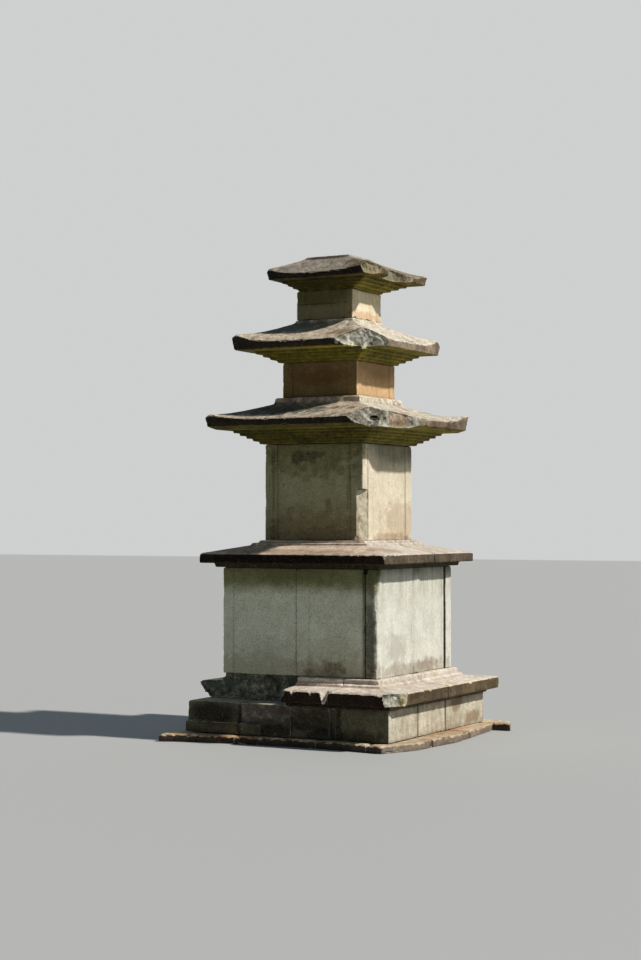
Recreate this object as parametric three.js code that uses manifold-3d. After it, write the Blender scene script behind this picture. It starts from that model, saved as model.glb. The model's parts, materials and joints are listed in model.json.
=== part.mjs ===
// Three-storey stone pagoda on a two-tier base, in millimetres, +Z up.
// The origin is on the ground at the middle of the base. The front faces -Y.

import * as THREE from "three";
import { mergeVertices } from "three/addons/utils/BufferGeometryUtils.js";
import Module from "manifold-3d";

const wasm = await Module();
wasm.setup();

// Heights of the levels
const FOUNDATION_TOP = 60;
const LOWER_BASE_TOP = 289;
const LOWER_CAP_TOP = 485;
const UPPER_BASE_TOP = 1270;
const UPPER_CAP_TOP = 1470;
const BODY_1_TOP = 2188;
const ROOF_1_TOP = 2540;
const BODY_2_TOP = 2803;
const ROOF_2_TOP = 3129;
const BODY_3_TOP = 3348;
const ROOF_3_TOP = 3612;

// Half widths of the square tiers
const FOUNDATION_HALF_X = 1070;
const FOUNDATION_HALF_Y = 1066;
const LOWER_BASE_HALF = 828;
const LOWER_CAP_HALF = 920;
const UPPER_BASE_HALF = 640;
const UPPER_CAP_HALF = 770;

const JOINT = 4;
const BASE_STONE_DEPTH = 208;
const LEDGE_TOP = 145;
const LEDGE_OUT = 15;
const BASE_SLAB_DEPTH = 108;
const RELIEF = 9;
const MICRON = 1000;

// Solids from three.js geometries

function toSolid(geometry) {
  geometry.deleteAttribute("normal");
  geometry.deleteAttribute("uv");
  const position = geometry.getAttribute("position");
  for (let i = 0; i < position.array.length; i += 1) {
    position.array[i] = Math.round(position.array[i] * MICRON) / MICRON;
  }
  const merged = mergeVertices(geometry);
  const index = merged.getIndex().array;
  const corners = [];
  for (let i = 0; i < index.length; i += 3) {
    const [a, b, c] = [index[i], index[i + 1], index[i + 2]];
    if (a !== b && b !== c && c !== a) {
      corners.push(a, b, c);
    }
  }
  return new wasm.Manifold(new wasm.Mesh({
    numProp: 3,
    vertProperties: new Float32Array(merged.getAttribute("position").array),
    triVerts: new Uint32Array(corners),
  }));
}

function toGeometry(solid) {
  const { numProp, vertProperties, triVerts } = solid.getMesh();
  const geometry = new THREE.BufferGeometry();
  const position = new THREE.BufferAttribute(new Float32Array(vertProperties), numProp);
  geometry.setAttribute("position", position);
  geometry.setIndex(new THREE.BufferAttribute(new Uint32Array(triVerts), 1));
  geometry.computeVertexNormals();
  return geometry;
}

function block([x0, x1], [y0, y1], [z0, z1]) {
  const box = new THREE.BoxGeometry(x1 - x0, y1 - y0, z1 - z0);
  box.translate((x0 + x1) / 2, (y0 + y1) / 2, (z0 + z1) / 2);
  return toSolid(box);
}

function plate(outline, [z0, z1]) {
  const shape = new THREE.Shape(outline.map(([x, y]) => new THREE.Vector2(x, y)));
  const geometry = new THREE.ExtrudeGeometry(shape, { depth: z1 - z0, bevelEnabled: false });
  geometry.translate(0, 0, z0);
  return toSolid(geometry);
}

// A profile of [half width, height] pairs goes round the axis in square rings.
// moveAt gives the shift of each point from its plain place.
function squareRings(profile, sideSteps = 1, moveAt = () => [0, 0, 0]) {
  const points = profile.map(([half, z]) => new THREE.Vector2(half, z));
  const geometry = new THREE.LatheGeometry(points, 4 * sideSteps, Math.PI / 4);
  const position = geometry.getAttribute("position");
  for (let i = 0; i < position.count; i += 1) {
    const [x, z] = [position.getX(i), position.getZ(i)];
    const reach = Math.max(Math.abs(x), Math.abs(z));
    const stretch = reach > 0 ? Math.hypot(x, z) / reach : 1;
    const [planX, planY] = [x * stretch, -z * stretch];
    const [moveX, moveY, moveZ] = moveAt(profile[i % profile.length], planX, planY);
    position.setXYZ(i, planX + moveX, position.getY(i) + moveZ, -(planY + moveY));
  }
  geometry.rotateX(Math.PI / 2);
  return toSolid(geometry);
}

// A large block on the outer side of a plane through a point
function outside([point, outward]) {
  const size = 1600;
  const normal = new THREE.Vector3(...outward).normalize();
  const turn = new THREE.Quaternion().setFromUnitVectors(new THREE.Vector3(0, 0, 1), normal);
  const half = new THREE.BoxGeometry(size, size, size);
  half.translate(0, 0, size / 2);
  half.applyQuaternion(turn);
  half.translate(...point);
  return toSolid(half);
}

// What lies on the outer side of every one of the planes goes.
function breakAway(solid, planes) {
  return solid.subtract(planes.map(outside).reduce((all, next) => all.intersect(next)));
}

const STONE_FINISH = { roughness: 0.92, metalness: 0 };
const stone = (color) => new THREE.MeshStandardMaterial({ color, ...STONE_FINISH });
const COLOURS = {
  foundation: stone(0x6b5f54),
  lowerBase: stone(0x5f5a4c),
  cap: stone(0x8c7b6b),
  slab: stone(0x9a9a8a),
  body: stone(0xa89c84),
  roof: stone(0x8a8171),
  warmBody: stone(0xb08a5c),
};

const pagoda = new THREE.Group();

function addPiece(name, solid, material) {
  const mesh = new THREE.Mesh(toGeometry(solid), material);
  mesh.name = name;
  pagoda.add(mesh);
}

// Foundation: rough slabs, each one given by the corners of its plan

const INNER = 520;
const FOUNDATION_PLANS = {
  foundation_front_left: [
    [-942, -FOUNDATION_HALF_Y], [-788, -999], [-372, -927], [-372, -INNER], [-975, -INNER],
  ],
  foundation_front_middle: [[-368, -927], [57, -885], [278, -893], [278, -INNER], [-368, -INNER]],
  foundation_front_right: [[282, -893], [502, -905], [700, -938], [700, -INNER], [282, -INNER]],
  foundation_near_corner: [[704, -938], [830, -952], [969, -627], [976, -420], [704, -420]],
  foundation_right_front: [[INNER, -416], [976, -416], [1012, -87], [990, 200], [INNER, 200]],
  foundation_right_back: [[INNER, 204], [990, 204], [932, 766], [INNER, 766]],
  foundation_corner_block: [[925, 782], [FOUNDATION_HALF_X, 792], [988, 995], [925, 995]],
  foundation_back_right: [[INNER, 770], [925, 770], [925, 1030], [INNER, 1052]],
  foundation_back_middle: [
    [-120, INNER], [516, INNER], [516, 1052], [180, FOUNDATION_HALF_Y], [-120, 1050],
  ],
  foundation_back_left: [
    [-124, INNER], [-124, 1050], [-560, 1035], [-940, 1015], [-960, 700], [-INNER, 700],
    [-INNER, INNER],
  ],
  foundation_left_back: [
    [-524, 696], [-964, 696], [-FOUNDATION_HALF_X, 420], [-1052, 100], [-524, 100],
  ],
  foundation_left_front: [[-524, 96], [-1052, 96], [-1030, -180], [-976, -516], [-524, -516]],
};

for (const [name, plan] of Object.entries(FOUNDATION_PLANS)) {
  addPiece(name, plate(plan, [0, FOUNDATION_TOP]), COLOURS.foundation);
}

// Lower base: squared stones in a ring, some with a low ledge along the foot

const BASE_Z = [FOUNDATION_TOP, LOWER_BASE_TOP];
const LEDGE_Z = [FOUNDATION_TOP, LEDGE_TOP];
const LEDGE_HALF = LOWER_BASE_HALF + LEDGE_OUT;
const BASE_INNER = LOWER_BASE_HALF - BASE_STONE_DEPTH;
const LEDGE_END = -205;
const FILLER_INSET = 12;

const LOWER_BASE_STONES = {
  base_front_left_corner: { x: [-LOWER_BASE_HALF, -385], y: [-LOWER_BASE_HALF, -400] },
  base_front_broken: { x: [-385 + JOINT, 38], y: [-LOWER_BASE_HALF, -505] },
  base_front_middle: { x: [38 + JOINT, 355], y: [-LOWER_BASE_HALF, -505] },
  base_front_filler: { x: [361, 397], y: [-LOWER_BASE_HALF + FILLER_INSET, -640] },
  base_near_corner: { x: [403, LOWER_BASE_HALF], y: [-LOWER_BASE_HALF, -354] },
  base_right_middle: { x: [BASE_INNER, LOWER_BASE_HALF], y: [-354 + JOINT, 116] },
  base_right_back_corner: { x: [520, LOWER_BASE_HALF], y: [116 + JOINT, LOWER_BASE_HALF] },
  base_back_right: { x: [60, 520 - JOINT], y: [BASE_INNER, LOWER_BASE_HALF] },
  base_back_left: { x: [-420, 60 - JOINT], y: [BASE_INNER, LOWER_BASE_HALF] },
  base_back_left_corner: { x: [-LOWER_BASE_HALF, -420 - JOINT], y: [400, LOWER_BASE_HALF] },
  base_left_back: { x: [-LOWER_BASE_HALF, -BASE_INNER], y: [0, 400 - JOINT] },
  base_left_front: { x: [-LOWER_BASE_HALF, -BASE_INNER], y: [-400 + JOINT, -JOINT] },
};

const LEDGES = {
  base_front_left_corner: { x: [-LEDGE_HALF, -385], y: [-LEDGE_HALF, -400] },
  base_front_broken: { x: [-385 + JOINT, LEDGE_END], y: [-LEDGE_HALF, -505] },
  base_back_left_corner: { x: [-LEDGE_HALF, -420 - JOINT], y: [400, LOWER_BASE_HALF] },
  base_left_back: { x: [-LEDGE_HALF, -BASE_INNER], y: [0, 400 - JOINT] },
  base_left_front: { x: [-LEDGE_HALF, -BASE_INNER], y: [-400 + JOINT, -JOINT] },
};

for (const [name, { x, y }] of Object.entries(LOWER_BASE_STONES)) {
  let solid = block(x, y, BASE_Z);
  if (name in LEDGES) {
    solid = solid.add(block(LEDGES[name].x, LEDGES[name].y, LEDGE_Z));
  }
  addPiece(name, solid, COLOURS.lowerBase);
}

// Lower cap: one square moulding, cut into slabs by their plans

const LOWER_CAP_PROFILE = [
  [0, LOWER_BASE_TOP],
  [845, LOWER_BASE_TOP],
  [852, 318],
  [LOWER_CAP_HALF, 318],
  [LOWER_CAP_HALF, 408],
  [707, 426],
  [707, 444],
  [678, 448],
  [678, 482],
  [660, LOWER_CAP_TOP],
  [0, LOWER_CAP_TOP],
];
const SLAB_Z = [LOWER_BASE_TOP - 1, LOWER_CAP_TOP + 1];
const OUT = 1000;
const BROKEN_FRONT_PLAN = [
  [-OUT, 0], [-OUT, -520], [-845, -530], [-690, -548], [-564, -542], [-400, -556], [-222, -525],
  [8, -532], [8, 0],
];
const LOWER_CAP_PLANS = {
  lower_cap_front_left: BROKEN_FRONT_PLAN,
  lower_cap_front_middle: [[12, -OUT], [390, -OUT], [390, 0], [12, 0]],
  lower_cap_near_corner: [[394, -OUT], [OUT, -OUT], [OUT, -27], [394, -27]],
  lower_cap_back_right: [[394, -23], [OUT, -23], [OUT, OUT], [394, OUT]],
  lower_cap_back_middle: [[-160, 4], [390, 4], [390, OUT], [-160, OUT]],
  lower_cap_back_left: [[-OUT, 4], [-164, 4], [-164, OUT], [-OUT, OUT]],
};
const CAP_BREAKS = {
  lower_cap_near_corner: [[[876, -833, 364], [0.89, -0.45, 0.2]]],
  lower_cap_front_left: [[[-882, -530, 338], [-0.72, -0.5, -0.55]]],
};

const lowerCap = squareRings(LOWER_CAP_PROFILE);
for (const [name, plan] of Object.entries(LOWER_CAP_PLANS)) {
  let solid = lowerCap.intersect(plate(plan, SLAB_Z));
  if (name in CAP_BREAKS) {
    solid = breakAway(solid, CAP_BREAKS[name]);
  }
  addPiece(name, solid, COLOURS.cap);
}

// Upper base: four slabs in a pinwheel, with shallow panels between pillars

const UPPER_BASE_Z = [LOWER_CAP_TOP, UPPER_BASE_TOP];
const CORNER_PILLAR = 84;
const CENTRE_PILLAR = 100;
const END_GAP = 6;

// A slab runs along a wall from its outer end to the next slab's back.
function baseSlab(turns) {
  const [start, end] = [-UPPER_BASE_HALF, UPPER_BASE_HALF - BASE_SLAB_DEPTH - END_GAP];
  const face = -UPPER_BASE_HALF;
  const centre = 31;
  const outline = [
    [start, face],
    [start + CORNER_PILLAR, face],
    [start + CORNER_PILLAR, face + RELIEF],
    [centre - CENTRE_PILLAR / 2, face + RELIEF],
    [centre - CENTRE_PILLAR / 2, face],
    [centre + CENTRE_PILLAR / 2, face],
    [centre + CENTRE_PILLAR / 2, face + RELIEF],
    [end, face + RELIEF],
    [end, face + BASE_SLAB_DEPTH],
    [start, face + BASE_SLAB_DEPTH],
  ];
  const [cos, sin] = [[1, 0], [0, 1], [-1, 0], [0, -1]][turns];
  return plate(outline.map(([x, y]) => [x * cos - y * sin, x * sin + y * cos]), UPPER_BASE_Z);
}

const SLAB_BREAK = [
  [[632, -632, 1072], [1, -1, 0]],
  [[632, -632, 973], [0, 0, 1]],
  [[632, -632, 1172], [0, 0, -1]],
];
["front", "right", "back", "left"].forEach((side, turns) => {
  const slab = baseSlab(turns);
  const solid = side === "right" ? breakAway(slab, SLAB_BREAK) : slab;
  addPiece(`upper_base_${side}`, solid, COLOURS.slab);
});

// Upper cap: the same way as the lower cap, in three slabs

const UPPER_CAP_PROFILE = [
  [0, UPPER_BASE_TOP],
  [682, UPPER_BASE_TOP],
  [690, 1300],
  [UPPER_CAP_HALF, 1302],
  [UPPER_CAP_HALF, 1374],
  [490, 1434],
  [490, 1450],
  [445, 1453],
  [445, UPPER_CAP_TOP],
  [0, UPPER_CAP_TOP],
];
const UPPER_SLAB_Z = [UPPER_BASE_TOP - 1, UPPER_CAP_TOP + 1];
const UPPER_CAP_PLANS = {
  upper_cap_front: [[-OUT, -OUT], [OUT, -OUT], [OUT, 60], [-OUT, 60]],
  upper_cap_back_right: [[4, 64], [OUT, 64], [OUT, OUT], [4, OUT]],
  upper_cap_back_left: [[-OUT, 64], [0, 64], [0, OUT], [-OUT, OUT]],
};
const upperCap = squareRings(UPPER_CAP_PROFILE);
for (const [name, plan] of Object.entries(UPPER_CAP_PLANS)) {
  addPiece(name, upperCap.intersect(plate(plan, UPPER_SLAB_Z)), COLOURS.cap);
}

// Storey bodies: square blocks with shallow panels between corner pillars

function body({ half, pillar, relief, range }) {
  const inner = half - relief;
  const edge = half - pillar;
  const side = [[-half, -half], [-edge, -half], [-edge, -inner], [edge, -inner], [edge, -half]];
  const outline = [];
  for (const [cos, sin] of [[1, 0], [0, 1], [-1, 0], [0, -1]]) {
    for (const [x, y] of side) {
      outline.push([x * cos - y * sin, x * sin + y * cos]);
    }
  }
  return plate(outline, range);
}

const BODY_1_BREAK = [[353, -430], [430, -430], [430, -275]];
const BODY_1_BREAK_TOP = 1845;
const BODY_1 = { half: 412, pillar: 100, relief: 9, range: [UPPER_CAP_TOP, BODY_1_TOP] };
const BODY_2 = { half: 315, pillar: 82, relief: 7, range: [ROOF_1_TOP, BODY_2_TOP] };
const BODY_3 = { half: 238, pillar: 70, relief: 6, range: [ROOF_2_TOP, BODY_3_TOP] };

const body1Break = plate(BODY_1_BREAK, [UPPER_CAP_TOP - 1, BODY_1_BREAK_TOP]);
addPiece("body_1", body(BODY_1).subtract(body1Break), COLOURS.body);
addPiece("body_2", body(BODY_2), COLOURS.warmBody);
addPiece("body_3", body(BODY_3), COLOURS.warmBody);

// Roof stones: bracket tiers below, a thick eave, and a top that rises to upturned corners

const SIDE_STEPS = 10;
const SLOPE_STEPS = 6;
const TIP_OUT = 8;
const EAVE_IN = 50;

// The top profile bends by the power called bow. A tip is lifted most at its end: keen says
// how closely the lift keeps to the hip, and late how closely it keeps to the eave.
function roof({ bottom, bracketHalf, tiers, tierOut, tierHeight, eaveHalf, eaveBottom, eaveTop,
  eaveCentre, undercut, bow, tips, neckHalf, neckFoot, seatHalf, top }) {
  const profile = [[0, bottom]];
  for (let tier = 0; tier < tiers; tier += 1) {
    const half = bracketHalf + tier * tierOut;
    profile.push([half, bottom + tier * tierHeight], [half, bottom + (tier + 1) * tierHeight]);
  }
  const bracketTop = bottom + tiers * tierHeight;
  profile.push([eaveHalf - EAVE_IN, bracketTop + 4], [eaveHalf, eaveBottom]);
  const firstLifted = profile.length;
  for (let step = 0; step <= SLOPE_STEPS; step += 1) {
    const way = step / SLOPE_STEPS;
    const half = THREE.MathUtils.lerp(eaveHalf, neckHalf, way);
    profile.push([half, eaveTop + (neckFoot - eaveTop) * way ** bow]);
  }
  profile.push([seatHalf, top], [0, top]);
  const share = (value, low, high) => THREE.MathUtils.clamp((value - low) / (high - low), 0, 1);
  const moveAt = (ring, x, y) => {
    const [half] = ring;
    if (half === 0) {
      return [0, 0, 0];
    }
    const [right, back] = [share(x, -half, half), share(y, -half, half)];
    const between = (key) => THREE.MathUtils.lerp(
      THREE.MathUtils.lerp(tips.left[key], tips.near[key], right),
      THREE.MathUtils.lerp(tips.back[key], tips.right[key], right),
      back,
    );
    const nearHip = (Math.min(Math.abs(x), Math.abs(y)) / half) ** between("keen");
    const nearEave = share(half, neckHalf, eaveHalf) ** between("late");
    const centre = eaveCentre * share(half, seatHalf, eaveHalf);
    const isTop = profile.indexOf(ring) >= firstLifted;
    const lift = isTop ? between("lift") * nearEave * nearHip : 0;
    const spread = (isTop ? TIP_OUT : -undercut) * nearEave * nearHip;
    return [centre + Math.sign(x) * spread, centre + Math.sign(y) * spread, lift];
  };
  return squareRings(profile, SIDE_STEPS, moveAt);
}

const ROOF_1 = {
  bottom: BODY_1_TOP, bracketHalf: 446, tiers: 5, tierOut: 36, tierHeight: 20, eaveHalf: 740,
  eaveBottom: 2314, eaveTop: 2366, eaveCentre: 0, undercut: 12, bow: 0.98, neckHalf: 366,
  neckFoot: 2494, seatHalf: 358, top: ROOF_1_TOP,
  tips: {
    left: { lift: 46, keen: 4.3, late: 4 },
    near: { lift: 58, keen: 4.6, late: 4 },
    right: { lift: 70, keen: 4.6, late: 4 },
    back: { lift: 58, keen: 4.3, late: 4 },
  },
};
const ROOF_2 = {
  bottom: BODY_2_TOP, bracketHalf: 345, tiers: 4, tierOut: 40, tierHeight: 20, eaveHalf: 588,
  eaveBottom: 2890, eaveTop: 2945, eaveCentre: -8, undercut: 12, bow: 0.9, neckHalf: 254,
  neckFoot: 3106, seatHalf: 246, top: ROOF_2_TOP,
  tips: {
    left: { lift: 74, keen: 4.3, late: 3.5 },
    near: { lift: 62, keen: 4.6, late: 3.5 },
    right: { lift: 68, keen: 4.3, late: 3.5 },
    back: { lift: 64, keen: 4.3, late: 3.5 },
  },
};
const ROOF_3 = {
  bottom: BODY_3_TOP, bracketHalf: 242, tiers: 4, tierOut: 38, tierHeight: 18, eaveHalf: 450,
  eaveBottom: 3427, eaveTop: 3465, eaveCentre: 48, undercut: 6, bow: 0.95, neckHalf: 194,
  neckFoot: 3597, seatHalf: 188, top: ROOF_3_TOP,
  tips: {
    left: { lift: 44, keen: 4.3, late: 1.4 },
    near: { lift: 54, keen: 1.7, late: 2 },
    right: { lift: 36, keen: 4.3, late: 4 },
    back: { lift: 40, keen: 4.3, late: 3 },
  },
};

// Each break is a set of planes, given by a point and the way out. The last ones blunt tips.
const ROOF_1_BREAKS = [
  [[[453, -732, 2373], [0.577, -0.426, 0.697]]],
  [[[622, -346, 2360], [1, 0, 0.25]], [[622, -268, 2360], [0.804, -0.594, 0.2]]],
  [[[-726, -726, 2396], [-0.41, -0.41, 0.82]]],
  [[[-726, 726, 2408], [-0.41, 0.41, 0.82]]],
];
const ROOF_2_BREAKS = [
  [[[292, -590, 2945], [0.655, -0.75, 0.08]], [[292, -590, 2945], [0.607, -0.251, 0.754]]],
  [[[-576, -576, 3004], [-0.41, -0.41, 0.82]]],
  [[[-584, 568, 2994], [-0.41, 0.41, 0.82]]],
  [[[556, 556, 2992], [0.41, 0.41, 0.82]]],
];
const ROOF_3_BREAKS = [
  [[[402, -402, 3497], [0.797, -0.604, 0.15]]],
  [
    [[408, 20, 3440], [1, 0, 0.1]],
    [[450, -115, 3440], [0.62, 0.78, 0]],
    [[450, 185, 3440], [0.8, -0.6, 0]],
  ],
  [[[-400, -400, 3496], [-0.6, -0.6, 0.5]]],
  [[[-396, 492, 3490], [-0.6, 0.6, 0.5]]],
];

addPiece("roof_1", ROOF_1_BREAKS.reduce(breakAway, roof(ROOF_1)), COLOURS.roof);
addPiece("roof_2", ROOF_2_BREAKS.reduce(breakAway, roof(ROOF_2)), COLOURS.roof);
addPiece("roof_3", ROOF_3_BREAKS.reduce(breakAway, roof(ROOF_3)), COLOURS.roof);

export default pagoda;
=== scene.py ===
"""Looks of a weathered three-storey stone pagoda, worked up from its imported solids."""

import json
import math

import bmesh
import bpy
import numpy as np
from mathutils import Matrix, Vector
from mathutils.bvhtree import BVHTree


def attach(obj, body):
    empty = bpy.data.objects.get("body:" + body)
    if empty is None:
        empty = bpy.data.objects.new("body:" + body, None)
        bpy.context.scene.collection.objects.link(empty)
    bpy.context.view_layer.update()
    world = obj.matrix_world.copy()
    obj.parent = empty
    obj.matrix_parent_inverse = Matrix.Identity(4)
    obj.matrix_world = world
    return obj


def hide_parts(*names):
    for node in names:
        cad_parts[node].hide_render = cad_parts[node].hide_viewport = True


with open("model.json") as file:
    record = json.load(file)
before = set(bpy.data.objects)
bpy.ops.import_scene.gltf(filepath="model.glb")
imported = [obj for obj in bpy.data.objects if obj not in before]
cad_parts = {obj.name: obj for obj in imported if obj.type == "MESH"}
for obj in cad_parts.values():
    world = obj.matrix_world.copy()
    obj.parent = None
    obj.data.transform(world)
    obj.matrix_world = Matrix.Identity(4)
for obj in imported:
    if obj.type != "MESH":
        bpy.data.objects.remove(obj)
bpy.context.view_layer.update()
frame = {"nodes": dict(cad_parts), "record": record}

MM = 0.001

# Objects in the scene


def add_object(name, data):
    """A new object in the scene with this mesh, camera or light."""
    thing = bpy.data.objects.new(name, data)
    bpy.context.scene.collection.objects.link(thing)
    return thing


def drop_object(helper):
    """Removes a helper object and its mesh."""
    mesh = helper.data
    bpy.data.objects.remove(helper)
    bpy.data.meshes.remove(mesh)


def apply_modifiers(piece):
    """The piece's mesh becomes what its modifiers make of it."""
    graph = bpy.context.evaluated_depsgraph_get()
    mesh = bpy.data.meshes.new_from_object(piece.evaluated_get(graph))
    old = piece.data
    piece.modifiers.clear()
    piece.data = mesh
    bpy.data.meshes.remove(old)


# Camera, fitted to the photo's own corners: place in metres, angles in degrees, lens in mm

CAMERA_PLACE = (6.550, -12.374, 1.608)
CAMERA_PITCH = 1.297
CAMERA_TURN = 28.479
CAMERA_LENS = 69.09
CAMERA_SENSOR = 36


def make_camera():
    data = bpy.data.cameras.new("camera")
    data.lens = CAMERA_LENS
    data.sensor_width = CAMERA_SENSOR
    camera = add_object("camera", data)
    camera.location = CAMERA_PLACE
    camera.rotation_euler = (math.radians(90 + CAMERA_PITCH), 0, math.radians(CAMERA_TURN))
    bpy.context.scene.camera = camera


# Noise on arrays of points

# Each finer layer is turned, so that its cells don't line up with those of the last one.
LAYER_TURN = np.array(Matrix.Rotation(0.9, 3, Vector((0.6, 0.5, 0.62))))

# Numbers that scramble a cell's place and the seed
AXIS_MIXERS = (0x8DA6B343, 0xD8163841, 0xCB1AB31F)
BIT_MIXERS = (0x5BD1E995, 0x27D4EB2D)
SEED_MIXER = 2654435761
WORD = 2**32


def lattice(cell, seed):
    """A repeatable value from 0 to 1 for each whole-number cell."""
    mixed = np.full(len(cell), seed * SEED_MIXER % WORD, dtype=np.uint32)
    for axis, mixer in enumerate(AXIS_MIXERS):
        mixed ^= cell[:, axis].astype(np.uint32) * np.uint32(mixer)
    for mixer in BIT_MIXERS:
        mixed ^= mixed >> np.uint32(13)
        mixed *= np.uint32(mixer)
    mixed ^= mixed >> np.uint32(15)
    return mixed.astype(np.float64) / WORD


def eased(part):
    """A run from 0 to 1 that starts and ends gently."""
    return part * part * (3 - 2 * part)


def ramp(value, low, high):
    """0 up to the low limit, 1 from the high one on, and eased between them."""
    return eased(np.clip((value - low) / (high - low), 0, 1))


def value_noise(points, seed):
    """Smooth noise from 0 to 1 whose features are about 1 across."""
    cell = np.floor(points).astype(np.int64)
    part = eased(points - cell)
    total = np.zeros(len(points))
    for corner in range(8):
        step = np.array([corner & 1, corner >> 1 & 1, corner >> 2 & 1])
        weight = np.prod(np.where(step, part, 1 - part), axis=1)
        total += weight * lattice(cell + step, seed)
    return total


def noise(points, size, seed, layers=3):
    """Noise from 0 to 1 with features of the given size and finer layers added."""
    total, share, full = np.zeros(len(points)), 1.0, 0.0
    place = points / size
    for layer in range(layers):
        place = place @ LAYER_TURN
        total += share * value_noise(place, seed + layer)
        full += share
        share *= 0.5
        place = place * 2
    return total / full


# Meshes as arrays


def read_points(mesh):
    points = np.empty(len(mesh.vertices) * 3)
    mesh.vertices.foreach_get("co", points)
    return points.reshape(-1, 3)


def read_normals(mesh):
    normals = np.empty(len(mesh.vertices) * 3)
    mesh.vertex_normals.foreach_get("vector", normals)
    return normals.reshape(-1, 3)


def read_edges(mesh):
    edges = np.empty(len(mesh.edges) * 2, dtype=np.int64)
    mesh.edges.foreach_get("vertices", edges)
    return edges.reshape(-1, 2)


def write_points(mesh, points):
    mesh.vertices.foreach_set("co", points.ravel())
    mesh.update()


def write_attribute(mesh, name, values):
    attribute = mesh.attributes.new(name, "FLOAT", "POINT")
    attribute.data.foreach_set("value", values.astype(np.float32))


def smoothed(values, edges, times):
    """Each value becomes the middle of its neighbours, several times over."""
    count = len(values)
    first, second = edges[:, 0], edges[:, 1]
    degree = np.bincount(first, minlength=count) + np.bincount(second, minlength=count)
    columns = values.reshape(count, -1).T.copy()
    for _ in range(times):
        for column in columns:
            total = np.bincount(first, column[second], count)
            total += np.bincount(second, column[first], count)
            column[:] = total / degree
    return columns.T.reshape(values.shape)


def turn_about_z(degrees):
    return np.array(Matrix.Rotation(math.radians(degrees), 3, "Z"))


def entry_for(name, table, otherwise=None):
    """The entry of the table whose key starts the stone's name."""
    return next((entry for start, entry in table.items() if name.startswith(start)), otherwise)


# Faces that don't show: against a neighbour, on the ground or inside the base, in metres

CONTACT_START = 0.4 * MM
CONTACT_REACH = 12 * MM
GROUND_REACH = 2 * MM

# The base is hollow up to this height. A face inside it has a nearly level normal, and looks back
# at the middle from more than this far away.
HOLLOW_TOP = 1.3
INSIDE_REACH = 0.3
LEVEL_NORMAL = 0.5


def all_solids_tree():
    """One search tree of every CAD node, with the owner of each face."""
    points, faces, owners = [], [], []
    for name, node in frame["nodes"].items():
        base = len(points)
        points.extend(v.co.copy() for v in node.data.vertices)
        for face in node.data.polygons:
            faces.append([base + i for i in face.vertices])
            owners.append(name)
    return BVHTree.FromPolygons(points, faces), owners


SOLIDS, OWNERS = all_solids_tree()


def hidden_share(name, points, normals):
    """1 where a neighbour is close in front or the face looks into the hollow base."""
    hidden = np.zeros(len(points))
    for i, (point, normal) in enumerate(zip(points, normals)):
        start, way = Vector(point), Vector(normal)
        _, _, index, _ = SOLIDS.ray_cast(start + way * CONTACT_START, way, CONTACT_REACH)
        if index is not None and OWNERS[index] != name:
            hidden[i] = 1
    inwards = (points[:, :2] * normals[:, :2]).sum(axis=1) < -INSIDE_REACH
    inside = (points[:, 2] < HOLLOW_TOP) & (np.abs(normals[:, 2]) < LEVEL_NORMAL)
    hidden[inwards & inside] = 1
    hidden[points[:, 2] < GROUND_REACH] = 1
    return hidden


# Broken faces

# Each is a point of the face and the way out of it, how rough it is in mm, and how pale its
# stone is, from 0 for middling to 1 for freshly broken.
BREAKS = {
    "roof_1": [
        ((453, -732, 2373), (0.577, -0.426, 0.697), 30, 0.15),
        ((622, -346, 2360), (1, 0, 0.25), 18, 0.6),
        ((622, -268, 2360), (0.804, -0.594, 0.2), 16, 0.6),
    ],
    "roof_2": [
        ((292, -590, 2945), (0.655, -0.75, 0.08), 30, 0.85),
        ((292, -590, 2945), (0.607, -0.251, 0.754), 26, 0.75),
    ],
    "roof_3": [
        ((402, -402, 3497), (0.797, -0.604, 0.15), 24, 0.9),
        ((408, 20, 3440), (1, 0, 0.1), 28, 0.7),
        ((450, -115, 3440), (0.62, 0.78, 0), 22, 0.6),
        ((450, 185, 3440), (0.8, -0.6, 0), 22, 0.6),
    ],
    "body_1": [((353, -430, 1600), (0.896, -0.445, 0), 12, 0.8)],
    "upper_base_right": [((632, -632, 1072), (0.707, -0.707, 0), 10, 0.9)],
    "lower_cap_near_corner": [((876, -833, 364), (0.89, -0.45, 0.2), 30, 0.45)],
    "base_front_broken": [((-180, -828, 220), (0, -1, 0), 18, 0)],
    "lower_cap_front_left": [((-882, -530, 338), (-0.72, -0.5, -0.55), 34, 0.1)],
}

# The lower cap's front left stone breaks off along a line, with a face for each of its stretches.
CAP_BREAK_LINE = [(-1000, -520), (-845, -530), (-690, -548), (-564, -542), (-400, -556),
                  (-222, -525), (8, -532)]
CAP_BREAK_HEIGHT = 380
CAP_BREAK_ROUGH = 40
CAP_BREAK_PALE = 0.1
for (x0, y0), (x1, y1) in zip(CAP_BREAK_LINE, CAP_BREAK_LINE[1:]):
    middle = ((x0 + x1) / 2, (y0 + y1) / 2, CAP_BREAK_HEIGHT)
    outward = (y1 - y0, x0 - x1, 0)
    BREAKS["lower_cap_front_left"].append((middle, outward, CAP_BREAK_ROUGH, CAP_BREAK_PALE))

# A point belongs to a broken face within this reach in mm, and where its normal agrees.
BREAK_REACH = 9
BREAK_AGREES = (0.6, 0.9)


def break_shares(name, in_mm, normals):
    """How much each point belongs to a broken face, and how rough and pale it is there."""
    share, rough, pale = (np.zeros(len(in_mm)) for _ in range(3))
    for point, outward, roughness, paleness in BREAKS.get(name, []):
        way = np.array(outward) / np.linalg.norm(outward)
        off = np.abs((in_mm - np.array(point)) @ way)
        near = 1 - ramp(off, BREAK_REACH, 2 * BREAK_REACH)
        here = near * ramp(normals @ way, *BREAK_AGREES)
        pale = np.where(here > share, paleness, pale)
        share = np.maximum(share, here)
        rough = np.maximum(rough, here * roughness)
    return share, rough, pale


# Hollows and chips cut out of the stones

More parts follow.
